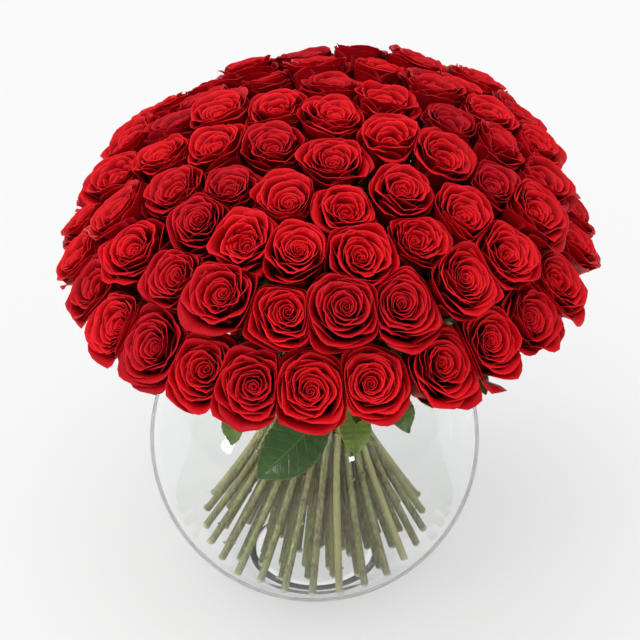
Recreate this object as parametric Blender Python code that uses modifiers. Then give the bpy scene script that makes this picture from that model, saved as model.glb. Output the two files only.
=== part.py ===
# A dome of cut roses, tied by hand in a spiral, standing in a round glass bowl.
# Metres, +Z up. The origin is the centre of the bowl's flat underside.

import math
import random

import bmesh
import bpy
from mathutils import Vector

# Blender's own merging distances are far too coarse for this model
MERGE_DISTANCE = 0.00001

# Glass bowl: a sphere cut flat below and open above
GLASS_RADIUS = 0.150
GLASS_WALL = 0.0035
BASE_RADIUS = 0.057
FLOOR_THICKNESS = 0.009
MOUTH_RADIUS = 0.086
GLASS_STEPS = 40
WALL_POINTS = 9
GLASS_CENTRE = math.sqrt(GLASS_RADIUS ** 2 - BASE_RADIUS ** 2)

# Dome of roses: (roses in the row, degrees down from the crown, degrees round to the first rose)
ROWS = [
    (1, 0.0, 0.0),
    (6, 14.4, 30.0),
    (12, 29.0, 36.0),
    (18, 42.5, -0.5),
    (22, 59.0, -5.0),
    (26, 89.0, -9.0),
]
DOME_RADIUS = 0.214
DOME_RISE = 0.115
DOME_EQUATOR = 0.364
DOME_OFFSET = 0.0165
DOME_TILT = 0.06
DOME_PITCH = 0.08
CROWN_HEIGHT = DOME_EQUATOR + DOME_RISE
FAN_CENTRE = Vector((0.0, 0.0, 0.180))
LAYOUT_SEED = 27
PAIR_SQUEEZE = 0.02
JITTER_DEGREES = 1.5
JITTER_RADIUS = 0.003
JITTER_HEIGHT = 0.005

# Rose heads
HEAD_DEPTH = 0.052
HEAD_MAX_RADIUS = 0.027
HEAD_GAP = 0.0005
HEAD_SIDES = 8
HEART_DEPTH = 0.25
PETAL_NECK = 0.007
NECK_SIDES = 6
# (share of the head's radius, share of its depth) down the outline, from the dip in the middle of its face
HEAD_OUTLINE = [(0.0, 0.08), (0.80, 0.0), (1.0, HEART_DEPTH), (0.72, 0.65), (0.18, 1.0), (0.0, 1.0)]

# Stems
STEM_RADIUS = 0.0035
WAIST_HEIGHT = 0.191
WAIST_SPACING = 0.0074
FLARE_PER_METRE = 17.3
TWIST = 0.4
STEM_RISE = 0.100
STEM_LEAD = 0.045
STEM_STOPS = (0.2, 0.36, 0.65, 1.0)
STEM_LOWER_BEND = 0.060
FOOT_HEIGHT = 0.034
FOOT_JITTER = 0.010
FOOT_CLEARANCE = 0.0026
FOOT_SHORTENING = 0.5
FOOT_STEP = 0.0005
HEAD_CLEARANCE = 0.0015
SHARP_ANGLE = math.radians(70)

# Ties
TIE_CORD_RADIUS = 0.0011
TWINE_GAP = 0.0019
TWINE_THICKNESS = 0.0030
TWINE_HEIGHT = 0.010
TWINE_STEPS = 32
TWINE_SHOULDER = 0.6
TIE_SIDES = 12

# Leaves on the bowl's shoulder: (name, degrees round, degrees down from the glass's top,
# degrees the midrib swings from straight down, length, width)
LEAVES = [
    ("leaf_front_large", -84, 44, -46, 0.092, 0.046),
    ("leaf_front_pale", -72, 43, -8, 0.044, 0.028),
    ("leaf_front_right", -54, 42, 12, 0.044, 0.026),
    ("leaf_right", -30, 45, 25, 0.050, 0.030),
    ("leaf_front_left", -125, 43, 5, 0.046, 0.026),
    ("leaf_left", -172, 44, -30, 0.062, 0.036),
    ("leaf_back_left", 128, 43, 20, 0.070, 0.040),
    ("leaf_back", 84, 44, -25, 0.078, 0.044),
    ("leaf_back_right", 38, 43, 15, 0.066, 0.038),
]
LEAF_STANDOFF = 0.006
LEAF_THICKNESS = 0.0012
LEAF_TIP = 0.05
LEAF_CELLS = (7, 2)

# name: (base colour, roughness, transmission)
FINISHES = {
    "petals": ((0.52, 0.004, 0.010), 0.62, 0.0),
    "stems": ((0.12, 0.17, 0.045), 0.55, 0.0),
    "leaves": ((0.022, 0.085, 0.018), 0.38, 0.0),
    "twine": ((0.36, 0.25, 0.12), 0.85, 0.0),
    "glass": ((0.97, 0.985, 0.98), 0.02, 0.95),
}


def clear_scene():
    for obj in list(bpy.data.objects):
        bpy.data.objects.remove(obj, do_unlink=True)
    for collection in list(bpy.data.collections):
        bpy.data.collections.remove(collection)


def make_collection(name):
    collection = bpy.data.collections.new(name)
    bpy.context.scene.collection.children.link(collection)
    return collection


def make_finish(name):
    colour, roughness, transmission = FINISHES[name]
    material = bpy.data.materials.new(name)
    material.use_nodes = True
    shader = material.node_tree.nodes["Principled BSDF"]
    shader.inputs["Base Color"].default_value = (*colour, 1.0)
    shader.inputs["Roughness"].default_value = roughness
    shader.inputs["Metallic"].default_value = 0.0
    shader.inputs["Transmission Weight"].default_value = transmission
    return material


def add_object(name, data, collection, finish):
    obj = bpy.data.objects.new(name, data)
    collection.objects.link(obj)
    obj.data.materials.append(finish)
    return obj


def make_helper(obj):
    obj.hide_render = True
    obj.display_type = "WIRE"


def profile_mesh(name, points):
    # points are (radius, height) pairs, joined in order as one open line
    mesh = bpy.data.meshes.new(name)
    bm = bmesh.new()
    corners = [bm.verts.new((radius, 0.0, height)) for radius, height in points]
    for upper, lower in zip(corners, corners[1:]):
        bm.edges.new((upper, lower))
    bm.to_mesh(mesh)
    bm.free()
    return mesh


def turn(obj, steps):
    screw = obj.modifiers.new("turn", "SCREW")
    screw.axis = "Z"
    screw.steps = steps
    screw.render_steps = steps
    screw.use_merge_vertices = True
    screw.merge_threshold = MERGE_DISTANCE
    screw.use_smooth_shade = True


def unite(obj, helper, name):
    union = obj.modifiers.new(name, "BOOLEAN")
    union.operation = "UNION"
    union.solver = "EXACT"
    union.object = helper


# Glass bowl

def arc(radius, start, end, count):
    # start and end are angles down from the top of the sphere
    points = []
    for i in range(count):
        angle = start + (end - start) * i / (count - 1)
        points.append((radius * math.sin(angle), GLASS_CENTRE + radius * math.cos(angle)))
    return points


def rounded_rim(inner, outer):
    # a half circle over the wall, from its inner corner to its outer one
    centre = ((inner[0] + outer[0]) / 2, (inner[1] + outer[1]) / 2)
    radius = math.dist(inner, outer) / 2
    start = math.atan2(inner[1] - centre[1], inner[0] - centre[0])
    points = []
    for i in (1, 2, 3):
        angle = start - math.pi * i / 4
        points.append((centre[0] + radius * math.cos(angle), centre[1] + radius * math.sin(angle)))
    return points


def build_bowl(collection, finish):
    inner_radius = GLASS_RADIUS - GLASS_WALL
    mouth_angle = math.asin(MOUTH_RADIUS / GLASS_RADIUS)
    base_angle = math.pi - math.asin(BASE_RADIUS / GLASS_RADIUS)
    floor_angle = math.acos((FLOOR_THICKNESS - GLASS_CENTRE) / inner_radius)
    inner_wall = arc(inner_radius, floor_angle, mouth_angle, WALL_POINTS)
    outer_wall = arc(GLASS_RADIUS, mouth_angle, base_angle, WALL_POINTS + 1)
    outline = [(0.0, FLOOR_THICKNESS)] + inner_wall
    outline += rounded_rim(inner_wall[-1], outer_wall[0])
    outline += outer_wall + [(0.0, 0.0)]
    bowl = add_object("glass_bowl", profile_mesh("glass_bowl", outline), collection, finish)
    turn(bowl, GLASS_STEPS)


# The dome's layout

def lean(point):
    # the whole dome sits a little to one side and tips a little to the front and to one side
    rise = (point.z - WAIST_HEIGHT) / (CROWN_HEIGHT - WAIST_HEIGHT)
    rise = min(max(rise, 0.0), 1.0)
    slope = DOME_TILT * point.x + DOME_PITCH * point.y
    return Vector((point.x + DOME_OFFSET * rise, point.y, point.z + slope * rise))


def polar(radius, degrees, height):
    angle = math.radians(degrees)
    return Vector((radius * math.cos(angle), radius * math.sin(angle), height))


def rose_places():
    # one dictionary for each rose, with the places before the dome leans
    draw = random.Random(LAYOUT_SEED)
    cut = random.Random(LAYOUT_SEED + 1)
    places = []
    for row, (count, down, first) in enumerate(ROWS):
        for i in range(count):
            squeeze = PAIR_SQUEEZE if i % 2 == 0 else -PAIR_SQUEEZE
            even = first + 360.0 / count * i
            degrees = even + 360.0 / count * squeeze + draw.uniform(-JITTER_DEGREES, JITTER_DEGREES)
            radius = DOME_RADIUS * math.sin(math.radians(down)) + draw.uniform(-JITTER_RADIUS, JITTER_RADIUS)
            height = DOME_EQUATOR + DOME_RISE * math.cos(math.radians(down))
            height += draw.uniform(-JITTER_HEIGHT, JITTER_HEIGHT)
            if row == 0:
                radius = 0.0
            face = polar(radius, degrees, height)
            axis = (face - FAN_CENTRE).normalized()
            places.append({
                "row": row,
                "number": i,
                "even": even,
                "degrees": degrees,
                "face": face,
                "axis": axis,
                "base": face - axis * HEAD_DEPTH,
                "foot_lift": cut.uniform(0.0, FOOT_JITTER),
            })
    return places


def place_heads(places):
    for place in places:
        face = lean(place["face"])
        base = lean(place["base"])
        place["head_face"] = face
        place["head_depth"] = (face - base).length
        place["head_axis"] = (face - base).normalized()
        place["heart"] = face.lerp(base, HEART_DEPTH)
        place["partner"] = (place["row"], place["number"] ^ 1)
    for place in places:
        nearest = 2 * HEAD_MAX_RADIUS
        for other in places:
            same = other["row"] == place["row"] and other["number"] == place["number"]
            if same or (other["row"], other["number"]) == place["partner"]:
                continue
            nearest = min(nearest, (other["heart"] - place["heart"]).length)
        place["head_radius"] = nearest / 2 - HEAD_GAP


# Rose heads

def build_head(name, place, collection, finish):
    outline = [(across * place["head_radius"], -down * place["head_depth"]) for across, down in HEAD_OUTLINE]
    head = add_object(name, profile_mesh(name, outline), collection, finish)
    turn(head, HEAD_SIDES)
    aim(head, place["head_face"], place["head_axis"])
    return head


def aim(obj, point, direction):
    tilt = math.acos(max(-1.0, min(1.0, direction.z)))
    obj.rotation_euler = (0.0, tilt, math.atan2(direction.y, direction.x))
    obj.location = point


def build_neck(name, start, end, collection, finish):
    # the outer petals of two neighbours, pressed into each other
    span = end - start
    bpy.ops.mesh.primitive_cylinder_add(vertices=NECK_SIDES, radius=PETAL_NECK, depth=span.length)
    neck = bpy.context.active_object
    neck.name = name
    for owner in list(neck.users_collection):
        owner.objects.unlink(neck)
    collection.objects.link(neck)
    neck.data.materials.append(finish)
    aim(neck, (start + end) / 2, span.normalized())
    make_helper(neck)
    return neck


def build_heads(places, collection, cutters, finish):
    # neighbours in a row are joined two by two
    crown = places[0]
    build_head("rose_crown", crown, collection, finish)
    for first, second in zip(places[1::2], places[2::2]):
        pair = first["number"] // 2 + 1
        name = f"roses_row{first['row']}_pair{pair:02d}"
        head = build_head(name, first, collection, finish)
        partner = build_head(name + "_partner", second, cutters, finish)
        make_helper(partner)
        neck = build_neck(name + "_neck", first["heart"], second["heart"], cutters, finish)
        unite(head, neck, "neck")
        unite(head, partner, "partner")


# Stems

def flare(height):
    return math.sqrt(1.0 + (FLARE_PER_METRE * (height - WAIST_HEIGHT)) ** 2)


def twist_degrees(height):
    return math.degrees(TWIST * math.atan(FLARE_PER_METRE * (height - WAIST_HEIGHT)))


def foot_height(waist_radius, lift):
    # down to the cut plane, or to where the stem meets the glass
    reach = GLASS_RADIUS - GLASS_WALL - FOOT_CLEARANCE - lift * FOOT_SHORTENING
    height = WAIST_HEIGHT
    while height > FOOT_HEIGHT + lift:
        if math.hypot(waist_radius * flare(height), height - GLASS_CENTRE) >= reach:
            break
        height -= FOOT_STEP
    return height


def bezier(points, t):
    a, b, c, d = points
    s = 1.0 - t
    return a * s ** 3 + b * (3 * s * s * t) + c * (3 * s * t * t) + d * t ** 3


def stem_points(place):
    # from the cut end up through the waist to the head
    waist_radius = WAIST_SPACING * place["row"]
    base = place["base"] - place["axis"] * HEAD_CLEARANCE
    base_radius = math.hypot(base.x, base.y)
    out = math.hypot(place["axis"].x, place["axis"].y)
    start = place["even"] - twist_degrees(base.z)
    swing = place["degrees"] - place["even"]
    foot = foot_height(waist_radius, place["foot_lift"])
    points = []
    for height in (foot, WAIST_HEIGHT - STEM_LOWER_BEND, WAIST_HEIGHT):
        radius = waist_radius * flare(height)
        points.append(polar(radius, start + twist_degrees(height), height))
    side = [
        Vector((waist_radius, WAIST_HEIGHT)),
        Vector((waist_radius, WAIST_HEIGHT + STEM_RISE)),
        Vector((base_radius - out * STEM_LEAD, base.z - place["axis"].z * STEM_LEAD)),
        Vector((base_radius, base.z)),
    ]
    for t in STEM_STOPS:
        radius, height = bezier(side, t)
        points.append(polar(radius, start + twist_degrees(height) + swing * t, height))
    return [lean(point) for point in points]


def stems_curve(name, paths, collection, finish):
    curve = bpy.data.curves.new(name, "CURVE")
    curve.dimensions = "3D"
    curve.bevel_depth = STEM_RADIUS
    curve.bevel_resolution = 1
    curve.render_resolution_u = 0
    curve.use_fill_caps = True
    for path in paths:
        spline = curve.splines.new("POLY")
        spline.points.add(len(path) - 1)
        for point, place in zip(spline.points, path):
            point.co = (*place, 1.0)
    return add_object(name, curve, collection, finish)


def as_mesh(obj, collection, finish):
    # the curve becomes a mesh with its caps welded on
    graph = bpy.context.evaluated_depsgraph_get()
    mesh = bpy.data.meshes.new_from_object(obj.evaluated_get(graph))
    bm = bmesh.new()
    bm.from_mesh(mesh)
    bmesh.ops.remove_doubles(bm, verts=bm.verts, dist=MERGE_DISTANCE)
    bm.to_mesh(mesh)
    bm.free()
    mesh.shade_smooth()
    mesh.set_sharp_from_angle(angle=SHARP_ANGLE)
    name = obj.name
    place = obj.matrix_world.copy()
    bpy.data.objects.remove(obj, do_unlink=True)
    mesh.name = name
    mesh.materials.clear()
    solid = add_object(name, mesh, collection, finish)
    solid.matrix_world = place
    return solid


def build_row_tie(name, radius, count, cutters, finish):
    # one turn of cord through the row, where it is tied before the next row goes on
    bpy.ops.mesh.primitive_torus_add(
        major_radius=radius,
        minor_radius=TIE_CORD_RADIUS,
        major_segments=max(TIE_SIDES, count),
        minor_segments=3,
        location=(0.0, 0.0, WAIST_HEIGHT),
    )
    tie = bpy.context.active_object
    tie.name = name
    for owner in list(tie.users_collection):
        owner.objects.unlink(tie)
    cutters.objects.link(tie)
    tie.data.materials.append(finish)
    make_helper(tie)
    return tie


def build_stems(places, collection, cutters, finish):
    for row, (count, _, _) in enumerate(ROWS):
        name = f"stems_row{row}" if row else "stem_crown"
        paths = [stem_points(place) for place in places if place["row"] == row]
        curve = stems_curve(name, paths, collection, finish)
        stems = as_mesh(curve, collection, finish)
        if row:
            tie = build_row_tie(name + "_tie", WAIST_SPACING * row, count, cutters, finish)
            unite(stems, tie, "tie")


# Twine round the waist

def build_twine(collection, finish):
    inner = WAIST_SPACING * (len(ROWS) - 1) + STEM_RADIUS + TWINE_GAP
    outer = inner + TWINE_THICKNESS
    middle = inner + TWINE_THICKNESS * TWINE_SHOULDER
    half = TWINE_HEIGHT / 2
    outline = [
        (inner, -half),
        (inner, half),
        (middle, half),
        (outer, half * TWINE_SHOULDER),
        (outer, -half * TWINE_SHOULDER),
        (middle, -half),
        (inner, -half),
    ]
    twine = add_object("binding_twine", profile_mesh("binding_twine", outline), collection, finish)
    twine.location = (0.0, 0.0, WAIST_HEIGHT)
    turn(twine, TWINE_STEPS)
    weld = twine.modifiers.new("close", "WELD")
    weld.merge_threshold = MERGE_DISTANCE


# Leaves

def leaf_width(along):
    # share of the full width, from the stalk at 0 to the tip at 1
    return max(LEAF_TIP, math.sin(math.pi * along ** 0.8) ** 0.8)


def build_leaf(spec, collection, finish):
    name, degrees, down, swing, length, width = spec
    shell = GLASS_RADIUS + LEAF_STANDOFF
    turned = math.radians(swing)
    bm = bmesh.new()
    bmesh.ops.create_grid(bm, x_segments=LEAF_CELLS[0], y_segments=LEAF_CELLS[1], size=0.5)
    for vert in bm.verts:
        share = vert.co.x + 0.5
        along = share * length
        across = vert.co.y * width * leaf_width(share)
        drop = along * math.cos(turned) - across * math.sin(turned)
        side = along * math.sin(turned) + across * math.cos(turned)
        angle = math.radians(down) + drop / shell
        turn_round = math.radians(degrees) + side / (shell * math.sin(angle))
        flat = shell * math.sin(angle)
        vert.co = (
            flat * math.cos(turn_round),
            flat * math.sin(turn_round),
            GLASS_CENTRE + shell * math.cos(angle),
        )
    bmesh.ops.recalc_face_normals(bm, faces=bm.faces)
    middle = sum((face.normal.dot(face.calc_center_median() - Vector((0, 0, GLASS_CENTRE)))
                  for face in bm.faces))
    if middle < 0:
        bmesh.ops.reverse_faces(bm, faces=bm.faces)
    mesh = bpy.data.meshes.new(name)
    bm.to_mesh(mesh)
    bm.free()
    leaf = add_object(name, mesh, collection, finish)
    solid = leaf.modifiers.new("thickness", "SOLIDIFY")
    solid.thickness = LEAF_THICKNESS
    solid.offset = 1.0
    return leaf


def main():
    clear_scene()
    parts = make_collection("roses_in_a_bowl")
    cutters = make_collection("cutters")
    finishes = {name: make_finish(name) for name in FINISHES}
    places = rose_places()
    place_heads(places)
    build_bowl(parts, finishes["glass"])
    build_stems(places, parts, cutters, finishes["stems"])
    build_heads(places, parts, cutters, finishes["petals"])
    build_twine(parts, finishes["twine"])
    for spec in LEAVES:
        build_leaf(spec, parts, finishes["leaves"])


main()
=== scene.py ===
# A dome of red roses, tied by hand and standing in a round glass bowl.
# Everything is in metres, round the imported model's own frame.

import math
import random

import bpy
import numpy as np
from mathutils import Matrix, Vector


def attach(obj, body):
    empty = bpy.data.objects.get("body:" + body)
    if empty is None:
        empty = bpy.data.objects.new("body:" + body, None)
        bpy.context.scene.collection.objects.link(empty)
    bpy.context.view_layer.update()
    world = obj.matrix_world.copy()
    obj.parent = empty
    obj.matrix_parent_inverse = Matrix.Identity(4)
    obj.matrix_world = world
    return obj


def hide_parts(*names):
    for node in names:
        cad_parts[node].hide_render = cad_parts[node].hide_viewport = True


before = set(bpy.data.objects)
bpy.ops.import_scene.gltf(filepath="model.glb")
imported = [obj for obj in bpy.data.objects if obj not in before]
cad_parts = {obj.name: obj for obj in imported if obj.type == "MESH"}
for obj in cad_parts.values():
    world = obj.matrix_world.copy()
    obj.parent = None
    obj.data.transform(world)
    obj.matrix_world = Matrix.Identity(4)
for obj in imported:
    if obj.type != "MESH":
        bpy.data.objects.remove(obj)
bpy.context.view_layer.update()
print("frame loaded:", len(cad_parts), "nodes")


# where each rose stands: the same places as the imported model's heads and stems
dome = {
    "rows": [  # roses, degrees down from the crown, degrees round to the first
        (1, 0.0, 0.0),
        (6, 14.4, 30.0),
        (12, 29.0, 36.0),
        (18, 42.5, -0.5),
        (22, 59.0, -5.0),
        (26, 89.0, -9.0),
    ],
    "radius": 0.214,
    "rise": 0.115,
    "equator": 0.364,
    "offset": 0.0165,
    "tilt": 0.06,
    "pitch": 0.08,
    "fanHeight": 0.180,
    "headDepth": 0.052,
    "heart": 0.25,
    "squeeze": 0.02,
    "jitterDegrees": 1.5,
    "jitterRadius": 0.003,
    "jitterHeight": 0.005,
    "seed": 27,
}
bowl = {
    "radius": 0.150,
    "wall": 0.0035,
    "baseRadius": 0.057,
    "floor": 0.009,
    "mouth": 0.086,
    "rimBead": 0.0004,
    "segments": 128,
}
bowl["centre"] = math.sqrt(bowl["radius"] ** 2 - bowl["baseRadius"] ** 2)
stem = {
    "radius": 0.0035,
    "waist": 0.191,
    "spacing": 0.0074,
    "flare": 17.3,
    "twist": 0.4,
    "rise": 0.100,
    "lead": 0.045,
    "foot": 0.034,
    "footJitter": 0.010,
    "footClear": 0.0026,
    "headClear": 0.0015,
}


def lean(point):
    # the whole dome sits a little to one side and tips a little
    crown = dome["equator"] + dome["rise"]
    rise = (point.z - stem["waist"]) / (crown - stem["waist"])
    rise = min(max(rise, 0.0), 1.0)
    slope = dome["tilt"] * point.x + dome["pitch"] * point.y
    return Vector((point.x + dome["offset"] * rise, point.y, point.z + slope * rise))


def polar(radius, degrees, height):
    angle = math.radians(degrees)
    return Vector((radius * math.cos(angle), radius * math.sin(angle), height))


def rosePlaces():
    draw = random.Random(dome["seed"])
    cut = random.Random(dome["seed"] + 1)
    fanCentre = Vector((0.0, 0.0, dome["fanHeight"]))
    places = []
    for row, (count, down, first) in enumerate(dome["rows"]):
        step = 360.0 / count
        for i in range(count):
            squeeze = dome["squeeze"] if i % 2 == 0 else -dome["squeeze"]
            even = first + step * i
            degrees = even + step * squeeze + draw.uniform(-dome["jitterDegrees"], dome["jitterDegrees"])
            radius = dome["radius"] * math.sin(math.radians(down))
            radius += draw.uniform(-dome["jitterRadius"], dome["jitterRadius"])
            height = dome["equator"] + dome["rise"] * math.cos(math.radians(down))
            height += draw.uniform(-dome["jitterHeight"], dome["jitterHeight"])
            if row == 0:
                radius = 0.0
            face = polar(radius, degrees, height)
            axis = (face - fanCentre).normalized()
            base = face - axis * dome["headDepth"]
            leanFace, leanBase = lean(face), lean(base)
            places.append({
                "row": row, "number": i, "even": even, "degrees": degrees,
                "face": face, "axis": axis, "base": base,
                "headFace": leanFace, "headBase": leanBase,
                "headAxis": (leanFace - leanBase).normalized(),
                "heart": leanFace.lerp(leanBase, dome["heart"]),
                "footLift": cut.uniform(0.0, stem["footJitter"]),
            })
    return places


def nodeName(place):
    if place["row"] == 0:
        return "rose_crown"
    return f"roses_row{place['row']}_pair{place['number'] // 2 + 1:02d}"


places = rosePlaces()
print("roses placed:", len(places))


def addPiece(name, mesh, material=None):
    piece = bpy.data.objects.new(name, mesh)
    bpy.context.scene.collection.objects.link(piece)
    if material:
        mesh.materials.clear()
        mesh.materials.append(material)
    return piece


def keep(piece, slotName, *nodes):
    # everything stands still together, so every piece rides on the one body
    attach(piece, "root")
    if nodes:
        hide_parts(*nodes)
    return piece


def meshOf(name, verts, faceGroups, uvs=None, uvName="petal", points=None):
    # faceGroups are arrays of quads or of triangles; points are named per-point values
    mesh = bpy.data.meshes.new(name)
    mesh.vertices.add(len(verts))
    mesh.vertices.foreach_set("co", np.ascontiguousarray(verts, dtype=np.float32).ravel())
    corners = np.concatenate([np.asarray(group).ravel() for group in faceGroups]).astype(np.int32)
    sizes = np.concatenate([np.full(len(group), np.asarray(group).shape[1]) for group in faceGroups])
    mesh.loops.add(len(corners))
    mesh.loops.foreach_set("vertex_index", corners)
    mesh.polygons.add(len(sizes))
    mesh.polygons.foreach_set("loop_start", np.concatenate([[0], np.cumsum(sizes)[:-1]]).astype(np.int32))
    mesh.update(calc_edges=True)
    if uvs is not None:
        layer = mesh.uv_layers.new(name=uvName)
        layer.data.foreach_set("uv", uvs[corners].astype(np.float32).ravel())
    for label, values in (points or {}).items():
        kind, key = ("FLOAT_COLOR", "color") if values.ndim == 2 else ("FLOAT", "value")
        attribute = mesh.attributes.new(label, kind, "POINT")
        attribute.data.foreach_set(key, values.astype(np.float32).ravel())
    mesh.shade_smooth()
    mesh.validate()
    return mesh


def lathe(profile, segments):
    # turns (radius, height) pairs from the top pole to the bottom pole into verts and faces
    profile = np.array(profile, float)
    turns = np.linspace(0.0, 2.0 * math.pi, segments, endpoint=False)
    inner = profile[1:-1]
    ring = np.stack([
        inner[:, None, 0] * np.cos(turns),
        inner[:, None, 0] * np.sin(turns),
        inner[:, None, 1] + 0.0 * turns,
    ], axis=-1).reshape(-1, 3)
    verts = np.concatenate([[[0.0, 0.0, profile[0, 1]]], ring, [[0.0, 0.0, profile[-1, 1]]]])
    a = np.arange(segments)
    b = (a + 1) % segments
    quads = []
    for i in range(len(inner) - 1):
        low, high = 1 + (i + 1) * segments, 1 + i * segments
        quads.append(np.stack([high + a, low + a, low + b, high + b], axis=-1))
    last = 1 + (len(inner) - 1) * segments
    top = np.stack([np.zeros_like(a), 1 + a, 1 + b], axis=-1)
    bottom = np.stack([np.full_like(a, len(verts) - 1), last + b, last + a], axis=-1)
    return verts, np.concatenate(quads), np.concatenate([top, bottom])


def smooth(x):
    x = np.clip(x, 0.0, 1.0)
    return x * x * (3.0 - 2.0 * x)


def sheetNormals(points):
    normal = np.cross(np.gradient(points, axis=0), np.gradient(points, axis=1))
    return normal / np.maximum(np.linalg.norm(normal, axis=-1, keepdims=True), 1e-9)


def sheetFaces(across, along, start, flip):
    i = np.arange(across - 1)[:, None]
    j = np.arange(along - 1)[None, :]
    a = start + i * along + j
    b = start + (i + 1) * along + j
    faces = np.stack([a, b, b + 1, a + 1], axis=-1).reshape(-1, 4)
    return faces[:, ::-1] if flip else faces


def thinSheet(points, thickness, start):
    # two skins and a band round the edge make one closed leaf or petal
    across, along = points.shape[:2]
    size = across * along
    normal = sheetNormals(points)
    half = normal * np.asarray(thickness)[..., None] / 2
    i = np.arange(across)
    j = np.arange(along)
    loop = np.concatenate([
        i[:-1] * along,
        (across - 1) * along + j[:-1],
        i[:0:-1] * along + along - 1,
        j[:0:-1],
    ])
    onward = np.roll(loop, -1)
    band = np.stack([start + onward, start + loop, start + size + loop, start + size + onward], axis=-1)
    verts = np.concatenate([(points + half).reshape(-1, 3), (points - half).reshape(-1, 3)])
    faces = np.concatenate([
        sheetFaces(across, along, start, False),
        sheetFaces(across, along, start + size, True),
        band,
    ])
    return verts, faces


def newGroup(name, inputs, outputs):
    group = bpy.data.node_groups.new(name, "ShaderNodeTree")
    for label, kind, value in inputs:
        socket = group.interface.new_socket(label, in_out="INPUT", socket_type="NodeSocket" + kind)
        if value is not None:
            socket.default_value = value
    for label, kind in outputs:
        group.interface.new_socket(label, in_out="OUTPUT", socket_type="NodeSocket" + kind)
    return group, group.nodes.new("NodeGroupInput"), group.nodes.new("NodeGroupOutput")


def put(tree, kind, inputs=None, **settings):
    # inputs maps a socket's name or number to a value, or to the output socket that feeds it
    made = tree.nodes.new(kind)
    for label, value in settings.items():
        setattr(made, label, value)
    for key, value in (inputs or {}).items():
        if isinstance(value, bpy.types.NodeSocket):
            tree.links.new(value, made.inputs[key])
        else:
            made.inputs[key].default_value = value
    return made


def mapped(tree, value, low, high, toLow=0.0, toHigh=1.0):
    return put(tree, "ShaderNodeMapRange", {
        "Value": value, "From Min": low, "From Max": high, "To Min": toLow, "To Max": toHigh,
    }).outputs["Result"]


def mixed(tree, factor, a, b):
    # colours; the sockets of the colour mix are 0 factor, 6 and 7 colours, output 2
    mix = put(tree, "ShaderNodeMix", {0: factor, 6: a, 7: b}, data_type="RGBA")
    return mix.outputs[2]


def sums(tree, operation, a, b=0.0):
    return put(tree, "ShaderNodeMath", {0: a, 1: b}, operation=operation).outputs[0]


def times(tree, a, b):
    return sums(tree, "MULTIPLY", a, b)


def makeMottle():
    # soft cloudy patches
    group, given, out = newGroup("mottle", [
        ("Vector", "Vector", None),
        ("Scale", "Float", 60.0),
        ("Detail", "Float", 3.0),
        ("Contrast", "Float", 0.5),
    ], [("Mask", "Float")])
    noise = put(group, "ShaderNodeTexNoise", {
        "Vector": given.outputs["Vector"],
        "Scale": given.outputs["Scale"],
        "Detail": given.outputs["Detail"],
    })
    # the mask falls from one to zero as the noise goes from start to end
    half = times(group, given.outputs["Contrast"], 0.5)
    start = sums(group, "SUBTRACT", 0.72, half)
    end = sums(group, "ADD", 0.28, half)
    group.links.new(mapped(group, noise.outputs["Fac"], start, end, 1.0, 0.0), out.inputs["Mask"])
    return group


def makeVeins():
    # a fan of fine veins that runs up a petal or a leaf along its own map
    group, given, out = newGroup(
        "fanVeins",
        [("Map", "Vector", None), ("Count", "Float", 30.0), ("Waver", "Float", 0.02)],
        [("Mask", "Float"), ("Height", "Float")],
    )
    parts = put(group, "ShaderNodeSeparateXYZ", {0: given.outputs["Map"]})
    noise = put(group, "ShaderNodeTexNoise", {"Vector": given.outputs["Map"], "Scale": 9.0, "Detail": 2.0})
    aside = sums(group, "SUBTRACT", noise.outputs["Fac"], 0.5)
    shift = times(group, aside, given.outputs["Waver"])
    across = times(group, sums(group, "ADD", parts.outputs["X"], shift), given.outputs["Count"])
    wave = sums(group, "PINGPONG", across, 1.0)
    line = mapped(group, wave, 0.0, 0.35, 1.0, 0.0)
    fade = mapped(group, parts.outputs["Y"], 0.35, 0.98, 1.0, 0.35)
    mask = times(group, line, fade)
    group.links.new(mask, out.inputs["Mask"])
    group.links.new(mask, out.inputs["Height"])
    return group


mottle = makeMottle()
fanVeins = makeVeins()


def newMaterial(name):
    material = bpy.data.materials.new(name)
    material.use_nodes = True
    tree = material.node_tree
    return material, tree, tree.nodes["Principled BSDF"]


def placeGroup(tree, group, inputs):
    return put(tree, "ShaderNodeGroup", inputs, node_tree=group)


petal = {
    "count": 33,
    "depth": 0.052,
    "thickness": 0.00042,
    "turn": 137.5,
    "innerGrid": (9, 10),
    "outerGrid": (13, 12),
    "radius": (0.0355, 0.0385),
    "lowRadius": (0.0395, 0.0435),
    # painted shade: the near-black colour that the petals fade to down inside a head
    "paintedShadeColour": (0.045, 0.0, 0.001, 1.0),
    "faceColour": (0.80, 0.003, 0.008, 1.0),
    # painted highlight: the lighter red along the petals' rims
    "rimHighlightColour": (0.98, 0.030, 0.045, 1.0),
    "oldColour": (0.16, 0.002, 0.012, 1.0),
    "give": 0.008,  # how softly petals flatten against the next head
    "overlap": 0.0015,
    "bias": 0.0055,  # how far a head may push into the next one
    "neighbour": 0.085,
    "seed": 401,
    "firstHeadSeed": 1000,
}


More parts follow.
